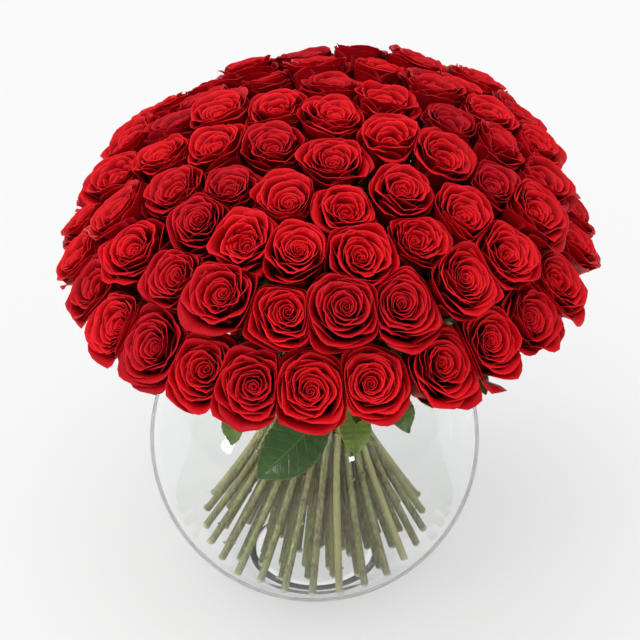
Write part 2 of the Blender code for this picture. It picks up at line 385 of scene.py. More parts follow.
def petalPoints(p):
    across, along = p["grid"]
    u = np.linspace(-1.0, 1.0, across)[:, None]
    v = np.linspace(0.0, 1.0, along)[None, :]
    v = p["from"] + (1.0 - p["from"]) * (1.0 - (1.0 - v) ** 1.5)
    edge = np.abs(u)
    reach = 1.0 - p["shoulder"] * edge ** p["round"]
    s = v * reach
    # up the cupped wall, out along the flare and over the rim, adding up short steps
    theta = p["startAngle"] + (p["wallAngle"] - p["startAngle"]) * smooth(s / p["wallAt"])
    outward = smooth((s - p["wallAt"]) / (p["lipAt"] - p["wallAt"]))
    theta = theta - (p["wallAngle"] - p["flareAngle"]) * outward
    roll = p["rollMiddle"] + (p["rollEdge"] - p["rollMiddle"]) * edge ** 1.5
    past = np.clip((s - p["lipAt"]) / (1.0 - p["lipAt"]), 0.0, 1.0)
    theta = theta - roll * past ** 1.2
    steps = np.diff(s * p["length"], axis=1)
    between = 0.5 * (theta[:, 1:] + theta[:, :-1])
    rho = np.zeros_like(s)
    z = np.zeros_like(s)
    rho[:, 1:] = np.cumsum(np.cos(between) * steps, axis=1)
    z[:, 1:] = np.cumsum(np.sin(between) * steps, axis=1)
    # shear the petal so that its foot and its lip stand where they should
    middle = across // 2
    at = np.interp(p["lipAt"], s[middle], np.arange(along))
    rhoLip = np.interp(at, np.arange(along), rho[middle])
    zLip = np.interp(at, np.arange(along), z[middle])
    footShare = p["from"] / p["lipAt"]
    footRho = p["baseRadius"] + footShare ** 0.6 * (p["lipRadius"] - p["baseRadius"])
    footZ = p["baseHeight"] + footShare * (p["lipHeight"] - p["baseHeight"])
    share = np.clip((s - p["from"]) / (p["lipAt"] - p["from"]), 0.0, 1.0)
    rho = footRho + rho + share * (p["lipRadius"] - footRho - rhoLip)
    z = footZ + z + share * (p["lipHeight"] - footZ - zLip)
    # seen from above the lip is straight-sided with a corner at its middle
    turn = p["halfWidth"] * u
    corner = p["corner"]
    soft = np.sqrt(turn ** 2 + p["softness"])
    sided = np.cos(corner) / np.cos(np.clip(soft - corner, -1.1, 1.1))
    flare = (1.0 - p["sided"]) + p["sided"] * sided * 1.06 + p["flat"] * turn ** 2 / 2.0
    flare = flare + p["spiral"] * u
    rho = rho * (1.0 + (flare - 1.0) * smooth((s - 0.15) * 1.6))
    high = smooth((s - 0.5) / 0.5)
    tip = np.exp(-(u / 0.40) ** 2) * smooth((s - 0.75) / 0.25)
    rho = rho + p["point"] * tip + p["ripple"] * np.sin(u * p["waves"] + p["phase"]) * high
    z = z + p["point"] * p["lift"] * tip + p["tilt"] * u * high
    z = z + p["ripple"] * 0.9 * np.cos(u * p["waves"] * 0.8 + p["phase"] * 1.7) * high
    crimp = p["ripple"] * 0.55 * np.sin(u * p["waves"] * 3.1 + p["phase"] * 2.3) * smooth((s - 0.85) / 0.15)
    rho = rho + crimp
    z = z - crimp
    angle = p["azimuth"] + turn
    x = rho * np.cos(angle) + p["shift"][0]
    y = rho * np.sin(angle) + p["shift"][1]
    points = np.stack([x, y, z], axis=-1)
    rimDistance = (reach - s) * p["length"]
    sideDistance = (1.0 - edge) * p["halfWidth"] * np.maximum(rho, 0.002)
    rimLine = np.exp(-np.minimum(rimDistance, sideDistance + 0.0 * s) / 0.0009)
    return points, u + 0.0 * s, s, rimLine


def petalSchedule(seed, headRadius, openness):
    draw = random.Random(seed)
    count = petal["count"]
    petals = []
    azimuth = draw.uniform(0.0, 2.0 * math.pi)
    hand = 1 if draw.random() < 0.5 else -1
    sunk = 0.006 + 0.009 * openness * draw.uniform(0.7, 1.2)
    crownShare = draw.uniform(0.58, 0.84)
    drop = draw.uniform(0.006, 0.013)
    sidedness = draw.uniform(0.50, 0.98)
    shiftAngle = draw.uniform(0.0, 2.0 * math.pi)
    shiftSize = draw.uniform(0.0005, 0.0040)
    for i in range(count):
        t = i / (count - 1)
        outer = max(0.0, (t - 0.74) / 0.26)
        azimuth += hand * math.radians(petal["turn"] + draw.uniform(-17, 17))
        lipRadius = 0.0013 + (headRadius - 0.0080) * t ** 1.25
        loose = 0.04 + 0.12 * (1.0 - t) ** 2
        lipRadius *= 1.0 + draw.uniform(-loose, loose)
        height = -sunk * (1.0 - smooth(t / crownShare))
        past = max(0.0, (t - crownShare) / (1.0 - crownShare))
        height -= drop * past ** 1.4
        height += draw.uniform(-0.0013, 0.0013) * (0.5 + t)
        baseRadius = 0.0012 + 0.0056 * t
        baseHeight = -petal["depth"] * (0.66 + 0.33 * t)
        lip = 0.0016 + 0.0030 * t + 0.0036 * outer
        lip *= draw.uniform(0.8, 1.3)
        length = math.hypot(height - baseHeight, lipRadius - baseRadius) * 1.08 + lip
        rollMiddle = 22 + 40 * t ** 0.8 + 30 * outer * (0.5 + openness) + draw.uniform(-14, 14)
        rollEdge = rollMiddle + 12 + 34 * t + draw.uniform(-14, 20)
        petals.append({
            "t": t,
            "grid": petal["innerGrid"] if t < 0.36 else petal["outerGrid"],
            "from": 0.30 * max(0.0, 1.0 - t / 0.62),
            "azimuth": azimuth,
            "halfWidth": math.radians(118 - 56 * t ** 0.55 + draw.uniform(-10, 10)),
            "lipRadius": lipRadius,
            "lipHeight": height,
            "baseRadius": baseRadius,
            "baseHeight": baseHeight,
            "length": length,
            "wallAt": 0.50 + 0.10 * t,
            "lipAt": 1.0 - lip / length,
            "startAngle": math.radians(70 - 40 * t),
            "wallAngle": math.radians(99 - 6 * t),
            "flareAngle": math.radians(88 - 26 * t ** 0.9 - 20 * outer * openness + draw.uniform(-7, 7)),
            "rollMiddle": math.radians(rollMiddle),
            "rollEdge": math.radians(rollEdge),
            "shoulder": 0.06 + 0.12 * t + draw.uniform(-0.02, 0.04),
            "round": 2.6 + draw.uniform(-0.5, 0.8),
            "corner": math.radians(draw.uniform(28, 42)),
            "softness": 0.030 - 0.022 * t,
            "sided": sidedness * min(1.0, 0.25 + t * 1.2) * draw.uniform(0.7, 1.1),
            "flat": 0.05 + 0.08 * t + draw.uniform(-0.03, 0.05),
            "spiral": hand * (0.05 + 0.28 * (1.0 - t) ** 3),
            "point": 0.0002 + 0.0024 * t * draw.uniform(0.0, 1.0),
            "lift": draw.uniform(-0.8, 0.5),
            "tilt": draw.uniform(-0.0016, 0.0016),
            "waves": draw.uniform(2.5, 5.5),
            "phase": draw.uniform(0, 6.28),
            "ripple": 0.0003 + 0.0012 * t * draw.uniform(0.3, 1.2),
            "tone": draw.uniform(0, 1),
            "shift": (shiftSize * (1.0 - t) ** 1.5 * math.cos(shiftAngle),
                      shiftSize * (1.0 - t) ** 1.5 * math.sin(shiftAngle)),
        })
    return petals


def heartBody():
    # the tight inner bud, which closes the middle of an open rose
    return lathe([
        (0.0, -0.017), (0.003, -0.0185), (0.007, -0.026), (0.0085, -0.034),
        (0.0075, -0.042), (0.004, -0.049), (0.0, -0.0495),
    ], 12)


def roseHead(seed, headRadius, openness):
    # verts in the head's own frame: z = 0 at the top, the stalk at -depth
    verts, quads, uvs, info = [], [], [], []
    start = 0
    for p in petalSchedule(seed, headRadius, openness):
        points, u, s, rimLine = petalPoints(p)
        thin = petal["thickness"] * (1.0 - 0.55 * rimLine)
        skin, faces = thinSheet(points, thin, start)
        verts.append(skin)
        quads.append(faces)
        uv = np.stack([u * 0.5 + 0.5, s], axis=-1).reshape(-1, 2)
        uvs += [uv, uv]
        facts = np.stack([rimLine, 0.0 * s + p["tone"], 0.0 * s + p["t"], s], axis=-1).reshape(-1, 4)
        info += [facts, facts]
        start += len(skin)
    body, bodyQuads, bodyTris = heartBody()
    verts.append(body)
    quads.append(bodyQuads + start)
    uvs.append(np.full((len(body), 2), 0.3))
    info.append(np.tile([0.0, 0.5, 0.0, 0.35], (len(body), 1)))
    faces = [np.concatenate(quads), bodyTris + start]
    return np.concatenate(verts), faces, np.concatenate(uvs), np.concatenate(info)


def pressed(verts, place, neighbours):
    # petals flatten against the next heads, so no head grows into another
    give = petal["give"]
    heart = np.array(place["heart"])
    for other, bias in neighbours:
        away = np.array(other["heart"]) - heart
        gap = np.linalg.norm(away)
        away /= gap
        limit = gap / 2 + bias + petal["overlap"]
        reach = (verts - heart) @ away
        over = np.maximum(reach - (limit - give), 0.0)
        held = give * (1.0 - np.exp(-over / give))
        verts = verts + (held - over)[:, None] * away
    return verts


def petalMaterial():
    material, tree, shader = newMaterial("rosePetal")
    info = put(tree, "ShaderNodeAttribute", attribute_name="petalInfo")
    parts = put(tree, "ShaderNodeSeparateColor", {0: info.outputs["Color"]})
    rim, tone, layer = parts.outputs[0], parts.outputs[1], parts.outputs[2]
    along = info.outputs["Alpha"]
    age = put(tree, "ShaderNodeAttribute", attribute_name="roseTone").outputs["Fac"]
    uv = put(tree, "ShaderNodeUVMap", uv_map="petal").outputs["UV"]
    where = put(tree, "ShaderNodeTexCoord").outputs["Object"]
    veins = placeGroup(tree, fanVeins, {"Map": uv, "Count": 34.0, "Waver": 0.05})
    cloud = placeGroup(tree, mottle, {"Vector": where, "Scale": 90.0, "Detail": 3.0, "Contrast": 0.4})
    # painted shade: the petals' own red near the rim goes near-black down inside the head; the outermost
    # petals keep their red further down
    shadeRamp = mapped(tree, along, mapped(tree, layer, 0.7, 1.0, 0.76, 0.50), 0.985)
    depth = sums(tree, "POWER", shadeRamp, 1.7)
    face = mixed(tree, depth, petal["paintedShadeColour"], petal["faceColour"])
    lighter = mixed(tree, times(tree, tone, 0.16), face, (0.95, 0.008, 0.018, 1.0))
    veining = times(tree, veins.outputs["Mask"], 0.16)
    veined = mixed(tree, veining, lighter, (0.25, 0.0, 0.002, 1.0))
    clouding = times(tree, cloud.outputs["Mask"], 0.18)
    cloudy = mixed(tree, clouding, veined, (0.34, 0.0, 0.004, 1.0))
    # a painted highlight: a lighter red line along each petal's rim
    rimHighlighted = mixed(tree, times(tree, rim, 0.55), cloudy, petal["rimHighlightColour"])
    # the outermost petals' edges go dark and purple, more so on an older rose
    guard = times(tree, mapped(tree, layer, 0.72, 1.0), mapped(tree, along, 0.80, 1.0))
    dusk = times(tree, guard, mapped(tree, tone, 0.2, 1.0, 0.0, 0.55))
    edged = mixed(tree, dusk, rimHighlighted, (0.20, 0.0, 0.010, 1.0))
    aged = mixed(tree, age, edged, petal["oldColour"])
    tree.links.new(aged, shader.inputs["Base Color"])
    rough = mapped(tree, cloud.outputs["Mask"], 0.0, 1.0, 0.38, 0.56)
    tree.links.new(rough, shader.inputs["Roughness"])
    grain = put(tree, "ShaderNodeTexNoise", {"Vector": where, "Scale": 900.0, "Detail": 2.0})
    height = sums(tree, "ADD", times(tree, veins.outputs["Height"], 0.5), grain.outputs["Fac"])
    bump = put(tree, "ShaderNodeBump", {"Strength": 0.25, "Distance": 0.0005, "Height": height})
    tree.links.new(bump.outputs["Normal"], shader.inputs["Normal"])
    shader.inputs["Specular IOR Level"].default_value = 0.10
    return material


def headTurn(place, draw):
    # the head's frame, tipped a little and spun about its own axis
    axis = place["headAxis"]
    side = axis.orthogonal().normalized()
    matrix = Matrix((side, axis.cross(side), axis)).transposed()
    tip = Matrix.Rotation(draw.gauss(0.0, 0.07), 3, "X") @ Matrix.Rotation(draw.gauss(0.0, 0.07), 3, "Y")
    return np.array(matrix @ tip)


def buildRoses(material):
    draw = random.Random(petal["seed"])
    radii, opens, turns, tones = {}, {}, {}, {}
    for place in places:
        key = (place["row"], place["number"])
        radii[key] = draw.uniform(*petal["lowRadius" if place["row"] > 3 else "radius"])
        opens[key] = min(1.0, max(0.0, draw.gauss(0.55, 0.28)))
        turns[key] = headTurn(place, draw)
        tones[key] = max(0.0, draw.gauss(0.08, 0.15))
    bias = {}
    for index, place in enumerate(places):
        key = (place["row"], place["number"])
        near = []
        for other in places:
            otherKey = (other["row"], other["number"])
            if other is place or (other["heart"] - place["heart"]).length > petal["neighbour"]:
                continue
            pair = (min(key, otherKey), max(key, otherKey))
            if pair not in bias:
                bias[pair] = draw.uniform(-petal["bias"], petal["bias"])
            near.append((other, bias[pair] if key == pair[0] else -bias[pair]))
        verts, faces, uvs, info = roseHead(petal["firstHeadSeed"] + 7 * index, radii[key], opens[key])
        verts = verts @ turns[key].T + np.array(place["headFace"])
        verts = pressed(verts, place, near)
        name = f"rose_row{place['row']}_{place['number'] + 1:02d}" if place["row"] else "rose_crown_head"
        points = {"petalInfo": info, "roseTone": np.full(len(verts), tones[key])}
        mesh = meshOf(name, verts, faces, uvs, "petal", points)
        keep(addPiece(name, mesh, material), "petals", nodeName(place))
    print("rose heads:", len(places))


buildRoses(petalMaterial())


def newTree(name, inputs):
    tree = bpy.data.node_groups.new(name, "GeometryNodeTree")
    tree.interface.new_socket("Geometry", in_out="INPUT", socket_type="NodeSocketGeometry")
    for label, kind, value in inputs:
        socket = tree.interface.new_socket(label, in_out="INPUT", socket_type="NodeSocket" + kind)
        if value is not None:
            socket.default_value = value
    tree.interface.new_socket("Geometry", in_out="OUTPUT", socket_type="NodeSocketGeometry")
    return tree, tree.nodes.new("NodeGroupInput"), tree.nodes.new("NodeGroupOutput")


def finishTree(tree, given, out, geometry):
    real = put(tree, "GeometryNodeRealizeInstances", {0: geometry})
    coloured = put(tree, "GeometryNodeSetMaterial", {
        0: real.outputs[0], "Material": given.outputs["Material"],
    })
    tree.links.new(coloured.outputs[0], out.inputs[0])


def stored(tree, geometry, name, value, domain="POINT"):
    return put(tree, "GeometryNodeStoreNamedAttribute", {
        "Geometry": geometry, "Name": name, "Value": value,
    }, data_type="FLOAT", domain=domain)


def resampled(tree, curve, length):
    return put(tree, "GeometryNodeResampleCurve", {"Curve": curve, "Length": length}, mode="LENGTH")


def tubeOf(tree, curve, sides, radius):
    ring = put(tree, "GeometryNodeCurvePrimitiveCircle", {
        "Resolution": sides, "Radius": radius,
    }, mode="RADIUS")
    return put(tree, "GeometryNodeCurveToMesh", {
        "Curve": curve, "Profile Curve": ring.outputs[0], "Fill Caps": True,
    })


def anyOf(tree, low, high, seed):
    return put(tree, "FunctionNodeRandomValue", {
        2: low, 3: high, "Seed": seed,
    }, data_type="FLOAT").outputs[1]


def spunAbout(tree, spots, seed):
    # each stud stands out from the stem to its own side
    spin = put(tree, "ShaderNodeCombineXYZ", {"Z": anyOf(tree, 0.0, 6.283, seed)})
    turn = put(tree, "FunctionNodeEulerToRotation", {0: spin.outputs[0]})
    return put(tree, "FunctionNodeRotateRotation", {
        0: spots.outputs["Rotation"], 1: turn.outputs[0],
    }, rotation_space="LOCAL").outputs[0]


def grow(name, source, tree, values):
    # runs the tree on the source object and keeps only the plain mesh that comes out
    modifier = source.modifiers.new("grow", "NODES")
    modifier.node_group = tree
    for item in tree.interface.items_tree:
        if item.item_type == "SOCKET" and item.in_out == "INPUT" and item.name in values:
            modifier[item.identifier] = values[item.name]
    source.update_tag()
    graph = bpy.context.evaluated_depsgraph_get()
    mesh = bpy.data.meshes.new_from_object(source.evaluated_get(graph))
    mesh.name = name
    bpy.data.objects.remove(source, do_unlink=True)
    return addPiece(name, mesh)


stemLook = {
    "step": 0.005,
    "sides": 9,
    "knotSpacing": 0.047,
    "thornSpacing": 0.021,
    "wander": (0.66, 1.02),  # thinnest and thickest, as shares of the radius
    "young": (0.165, 0.200, 0.030, 1.0),
    "bark": (0.100, 0.055, 0.016, 1.0),
    "pale": (0.52, 0.50, 0.18, 1.0),
    "cut": (0.50, 0.46, 0.26, 1.0),
}


def flare(height):
    return math.sqrt(1.0 + (stem["flare"] * (height - stem["waist"])) ** 2)


def twistDegrees(height):
    return math.degrees(stem["twist"] * math.atan(stem["flare"] * (height - stem["waist"])))


def footHeight(waistRadius, lift):
    reach = bowl["radius"] - bowl["wall"] - stem["footClear"] - lift * 0.5
    height = stem["waist"]
    while height > stem["foot"] + lift:
        if math.hypot(waistRadius * flare(height), height - bowl["centre"]) >= reach:
            break
        height -= 0.0005
    return height


def bezier(points, t):
    a, b, c, d = points
    s = 1.0 - t
    return a * s ** 3 + b * (3 * s * s * t) + c * (3 * s * t * t) + d * t ** 3


def stemPath(place):
    # from the cut end up through the waist to the head
    waist = stem["waist"]
    waistRadius = stem["spacing"] * place["row"]
    base = place["base"] - place["axis"] * stem["headClear"]
    baseRadius = math.hypot(base.x, base.y)
    out = math.hypot(place["axis"].x, place["axis"].y)
    start = place["even"] - twistDegrees(base.z)
    swing = place["degrees"] - place["even"]
    foot = footHeight(waistRadius, place["footLift"])
    points = []
    for i in range(8):
        height = foot + (waist - foot) * i / 8
        points.append(polar(waistRadius * flare(height), start + twistDegrees(height), height))
    side = [
        Vector((waistRadius, waist)),
        Vector((waistRadius, waist + stem["rise"])),
        Vector((baseRadius - out * stem["lead"], base.z - place["axis"].z * stem["lead"])),
        Vector((baseRadius, base.z)),
    ]
    for i in range(10):
        t = i / 9
        radius, height = bezier(side, t)
        points.append(polar(radius, start + twistDegrees(height) + swing * t, height))
    return [lean(point) for point in points]


def stemTree():
    tree, given, out = newTree("stemTree", [
        ("Radius", "Float", stem["radius"]),
        ("Step", "Float", stemLook["step"]),
        ("Sides", "Int", stemLook["sides"]),
        ("Knot Spacing", "Float", stemLook["knotSpacing"]),
        ("Thorn Spacing", "Float", stemLook["thornSpacing"]),
        ("Seed", "Int", 3),
        ("Material", "Material", None),
    ])
    line = resampled(tree, given.outputs["Geometry"], given.outputs["Step"])
    # thickness wanders a little, and the tone differs from stem to stem
    place = put(tree, "GeometryNodeInputPosition")
    wander = put(tree, "ShaderNodeTexNoise", {"Vector": place.outputs[0], "Scale": 28.0, "Detail": 1.0})
    size = mapped(tree, wander.outputs["Fac"], 0.3, 0.7, *stemLook["wander"])
    sized = put(tree, "GeometryNodeSetCurveRadius", {"Curve": line.outputs[0], "Radius": size})
    which = put(tree, "GeometryNodeCurveOfPoint")
    tone = put(tree, "FunctionNodeRandomValue", {
        "ID": which.outputs["Curve Index"], "Seed": given.outputs["Seed"],
    }, data_type="FLOAT")
    toned = stored(tree, sized.outputs[0], "stemTone", tone.outputs[1])
    along = put(tree, "GeometryNodeSplineParameter")
    marked = stored(tree, toned.outputs[0], "stemAlong", along.outputs["Length"])
    rods = tubeOf(tree, marked.outputs[0], given.outputs["Sides"], given.outputs["Radius"])
    # knots, where a leaf was pulled off
    knots = put(tree, "GeometryNodeCurveToPoints", {
        "Curve": marked.outputs[0], "Length": given.outputs["Knot Spacing"],
    }, mode="LENGTH")
    ball = put(tree, "GeometryNodeMeshIcoSphere", {"Radius": 0.0034, "Subdivisions": 2})
    bead = put(tree, "GeometryNodeTransform", {
        0: ball.outputs[0], "Translation": (0.0012, 0.0, 0.0), "Scale": (1.0, 0.95, 0.8),
    })
    knotOn = put(tree, "GeometryNodeInstanceOnPoints", {
        "Points": knots.outputs["Points"],
        "Instance": bead.outputs[0],
        "Rotation": spunAbout(tree, knots, given.outputs["Seed"]),
        "Scale": anyOf(tree, 0.75, 1.15, 11),
    })
    # thorns and the stubs of thorns
    thorns = put(tree, "GeometryNodeCurveToPoints", {
        "Curve": marked.outputs[0], "Length": given.outputs["Thorn Spacing"],
    }, mode="LENGTH")
    spike = put(tree, "GeometryNodeMeshCone", {
        "Vertices": 6, "Radius Top": 0.0002, "Radius Bottom": 0.0014, "Depth": 0.0026,
    })
    stub = put(tree, "GeometryNodeTransform", {
        0: spike.outputs[0],
        "Translation": (0.0030, 0.0, 0.0),
        "Rotation": (0.0, math.radians(78), 0.0),
        "Scale": (1.4, 0.7, 1.0),
    })
    some = put(tree, "FunctionNodeRandomValue", {"Probability": 0.45, "Seed": 31}, data_type="BOOLEAN")
    thornOn = put(tree, "GeometryNodeInstanceOnPoints", {
        "Points": thorns.outputs["Points"],
        "Selection": some.outputs[3],
        "Instance": stub.outputs[0],
        "Rotation": spunAbout(tree, thorns, 23),
        "Scale": anyOf(tree, 0.6, 1.15, 37),
    })
    joined = put(tree, "GeometryNodeJoinGeometry")
    for piece in (thornOn, knotOn, rods):
        tree.links.new(piece.outputs[0], joined.inputs[0])
    finishTree(tree, given, out, joined.outputs[0])
    return tree


def stemMaterial():
    material, tree, shader = newMaterial("roseStem")
    where = put(tree, "ShaderNodeTexCoord").outputs["Object"]
    tone = put(tree, "ShaderNodeAttribute", attribute_name="stemTone").outputs["Fac"]
    along = put(tree, "ShaderNodeAttribute", attribute_name="stemAlong").outputs["Fac"]
    long = put(tree, "ShaderNodeMapping", {"Vector": where, "Scale": (1.0, 1.0, 0.16)}).outputs[0]
    streak = placeGroup(tree, mottle, {"Vector": long, "Scale": 420.0, "Detail": 4.0, "Contrast": 0.6})
    patch = placeGroup(tree, mottle, {"Vector": where, "Scale": 46.0, "Detail": 3.0, "Contrast": 0.5})
    fleck = placeGroup(tree, mottle, {"Vector": where, "Scale": 900.0, "Detail": 1.0, "Contrast": 0.9})
    patchy = times(tree, patch.outputs[0], 0.5)
    brown = sums(tree, "ADD", times(tree, tone, 0.45), patchy)
    base = mixed(tree, brown, stemLook["young"], stemLook["bark"])
    # one stem in a few is pale all over, the others only in streaks
    streaky = times(tree, streak.outputs[0], 0.30)
    pale = sums(tree, "MAXIMUM", mapped(tree, tone, 0.70, 0.98, 0.0, 0.75), streaky)
    light = mixed(tree, pale, base, stemLook["pale"])
    dark = mixed(tree, times(tree, fleck.outputs[0], 0.25), light, (0.030, 0.028, 0.008, 1.0))
    fresh = mapped(tree, along, 0.0003, 0.0012, 1.0, 0.0)
    cut = mixed(tree, fresh, dark, stemLook["cut"])
    tree.links.new(cut, shader.inputs["Base Color"])
    tree.links.new(mapped(tree, patch.outputs[0], 0.0, 1.0, 0.26, 0.46), shader.inputs["Roughness"])
    bump = put(tree, "ShaderNodeBump", {"Strength": 0.3, "Distance": 0.0006, "Height": streak.outputs[0]})
    tree.links.new(bump.outputs["Normal"], shader.inputs["Normal"])
    shader.inputs["Specular IOR Level"].default_value = 0.6
    return material


def curveObject(name, paths):
    curve = bpy.data.curves.new(name, "CURVE")
    curve.dimensions = "3D"
    for path in paths:
        spline = curve.splines.new("POLY")
        spline.points.add(len(path) - 1)
        for point, spot in zip(spline.points, path):
            point.co = (*spot, 1.0)
    made = bpy.data.objects.new(name, curve)
    bpy.context.scene.collection.objects.link(made)
    return made


def smoothPath(path, parts):
    # a rounded line through given points
    spots = [path[0]] + list(path) + [path[-1]]
    line = []
    for a, b, c, d in zip(spots, spots[1:], spots[2:], spots[3:]):
        for i in range(parts):
            t = i / parts
            line.append(0.5 * (2 * b + (c - a) * t + (2 * a - 5 * b + 4 * c - d) * t ** 2
                               + (3 * b - a - 3 * c + d) * t ** 3))
    return line + [path[-1]]


def buildStems(material):
    tree = stemTree()
    for row in range(len(dome["rows"])):
        node = f"stems_row{row}" if row else "stem_crown"
        paths = [smoothPath(stemPath(place), 3) for place in places if place["row"] == row]
        source = curveObject(node + "_paths", paths)
        piece = grow(node + "_cut", source, tree, {"Material": material, "Seed": 3 + row})
        piece.data.shade_smooth()
        piece.data.set_sharp_from_angle(angle=math.radians(50))
        keep(piece, "stems", node)
    print("stems grown")


buildStems(stemMaterial())


def bowlProfile():
    radius, wall, centre = bowl["radius"], bowl["wall"], bowl["centre"]
    inner = radius - wall
    mouthAngle = math.asin(bowl["mouth"] / radius)
    baseAngle = math.pi - math.asin(bowl["baseRadius"] / radius)
    heel = 0.004  # the rounded foot
    points = []
    # over the rim from the inside, down the outside, and under the foot
    rimCentre = Vector((bowl["mouth"], centre + radius * math.cos(mouthAngle)))
    rimCentre -= Vector((math.sin(mouthAngle), math.cos(mouthAngle))) * wall / 2
    bead = wall / 2 + bowl["rimBead"]
    for i in range(9):
        angle = math.pi / 2 - mouthAngle + math.pi * (1.0 - i / 8)
        points.append((rimCentre.x + bead * math.cos(angle), rimCentre.y + bead * math.sin(angle)))
    steps = 56
    for i in range(1, steps):
        angle = mouthAngle + (baseAngle - heel / radius - mouthAngle) * i / steps
        points.append((radius * math.sin(angle), centre + radius * math.cos(angle)))
    foot = bowl["baseRadius"]
    for i in range(6):
        share = i / 5
        points.append((foot - heel * (share - 0.35) ** 2 * 1.1 + 0.0002, heel * 0.55 * (1.0 - share) ** 2))
    points += [(foot - heel * 1.5, 0.0), (foot * 0.55, 0.0006), (foot * 0.25, 0.0009), (0.0, 0.0010)]
    # up the inside: a shallow bottom that runs into the wall
    floorAngle = math.acos((bowl["floor"] - centre) / inner)
    floor = bowl["floor"]
    inside = [(0.0, floor), (foot * 0.3, floor - 0.0001), (foot * 0.6, floor + 0.0001)]
    for i in range(steps + 1):
        angle = floorAngle + (mouthAngle - floorAngle) * i / steps
        lift = 0.0016 * math.exp(-((angle - floorAngle) / 0.07) ** 2)
        reach = inner - lift
        inside.append((reach * math.sin(angle), centre + reach * math.cos(angle)))
    return inside[:-1] + points


def buildBowl(material):
    profile = bowlProfile()
    verts, quads, tris = lathe(profile, bowl["segments"])
    # from the inner pole up, over the rim and down, so the faces point out of the glass
    mesh = meshOf("glass_bowl_blown", verts, [quads, tris])
    keep(addPiece("glass_bowl_blown", mesh, material), "glass", "glass_bowl")
    print("glass turned")


def glassMaterial():
    material, tree, shader = newMaterial("clearGlass")
    shader.inputs["Base Color"].default_value = (0.985, 0.993, 0.990, 1.0)
    shader.inputs["Roughness"].default_value = 0.0
    shader.inputs["IOR"].default_value = 1.47
    shader.inputs["Transmission Weight"].default_value = 1.0
    # part of the reflection is held back, as through a polarising filter, and the shadow is light
    bent = put(tree, "ShaderNodeBsdfRefraction", {
        "Color": (0.985, 0.993, 0.990, 1.0), "Roughness": 0.0, "IOR": 1.47,
    })
    softer = put(tree, "ShaderNodeMixShader", {0: 0.4, 1: shader.outputs[0], 2: bent.outputs[0]})
    clear = put(tree, "ShaderNodeBsdfTransparent", {"Color": (0.975, 0.98, 0.98, 1.0)})
    light = put(tree, "ShaderNodeLightPath")
    mixer = put(tree, "ShaderNodeMixShader", {
        0: light.outputs["Is Shadow Ray"], 1: softer.outputs[0], 2: clear.outputs[0],
    })
    tree.links.new(mixer.outputs[0], tree.nodes["Material Output"].inputs["Surface"])
    return material


buildBowl(glassMaterial())


twine = {
    "inner": 0.0424,
    "turns": 7,
    "pitch": 0.00150,
    "strand": 0.00052,
    "lay": 0.0042,
}


def twineTree():
    tree, given, out = newTree("twineTree", [
        ("Strand", "Float", twine["strand"]),
        ("Lay", "Float", twine["lay"]),
        ("Material", "Material", None),
    ])
    line = resampled(tree, given.outputs["Geometry"], 0.0010)
    along = put(tree, "GeometryNodeSplineParameter")
    normal = put(tree, "GeometryNodeInputNormal").outputs[0]
    tangent = put(tree, "GeometryNodeInputTangent").outputs[0]
    across = put(tree, "ShaderNodeVectorMath", {0: normal, 1: tangent}, operation="CROSS_PRODUCT").outputs[0]
    turns = sums(tree, "DIVIDE", along.outputs["Length"], given.outputs["Lay"])
    joined = put(tree, "GeometryNodeJoinGeometry")
    for k in range(3):
        angle = times(tree, sums(tree, "ADD", turns, k / 3), 2.0 * math.pi)
        aside = []
        for operation, axis in (("COSINE", normal), ("SINE", across)):
            size = times(tree, sums(tree, operation, angle), given.outputs["Strand"])
            moved = put(tree, "ShaderNodeVectorMath", {0: axis, "Scale": size}, operation="SCALE")
            aside.append(moved.outputs[0])
        offset = put(tree, "ShaderNodeVectorMath", {0: aside[0], 1: aside[1]}, operation="ADD")
        strand = put(tree, "GeometryNodeSetPosition", {0: line.outputs[0], "Offset": offset.outputs[0]})
        rope = tubeOf(tree, strand.outputs[0], 5, given.outputs["Strand"])
        tree.links.new(rope.outputs[0], joined.inputs[0])
    finishTree(tree, given, out, joined.outputs[0])
    return tree


def twineMaterial():
    material, tree, shader = newMaterial("juteTwine")
    where = put(tree, "ShaderNodeTexCoord").outputs["Object"]
    fibre = placeGroup(tree, mottle, {"Vector": where, "Scale": 1400.0, "Detail": 3.0, "Contrast": 0.8})
    colour = mixed(tree, fibre.outputs[0], (0.40, 0.28, 0.14, 1.0), (0.22, 0.14, 0.06, 1.0))
    tree.links.new(colour, shader.inputs["Base Color"])
    bump = put(tree, "ShaderNodeBump", {"Strength": 0.5, "Distance": 0.0003, "Height": fibre.outputs[0]})
    tree.links.new(bump.outputs["Normal"], shader.inputs["Normal"])
    shader.inputs["Roughness"].default_value = 0.85
    return material


def buildTwine(material):
    # wound flat round the waist
    path = []
    count = 40 * twine["turns"]
    for i in range(count + 1):
        turn = 2.0 * math.pi * twine["turns"] * i / count
        height = stem["waist"] + twine["pitch"] * twine["turns"] * (i / count - 0.5)
        wobble = 0.00025 * math.sin(5.3 * turn + 1.0)
        path.append(Vector((
            (twine["inner"] + wobble) * math.cos(turn),
            (twine["inner"] + wobble) * math.sin(turn),
            height,
        )))
    source = curveObject("twine_path", [path])
    piece = grow("twine_wound", source, twineTree(), {"Material": material})
    piece.data.shade_smooth()
    keep(piece, "twine", "binding_twine")
    print("twine wound")


buildTwine(twineMaterial())


leafLook = {
    "standoff": 0.006,
    "thickness": 0.0006,
    "grid": (17, 40),
    "teeth": 13,
    "tooth": 0.055,
    "stalk": 0.0011,
    "stalkPath": [(0.0985, 0.2660), (0.0870, 0.2705), (0.0700, 0.2770), (0.0500, 0.2860)],  # radius, height
}
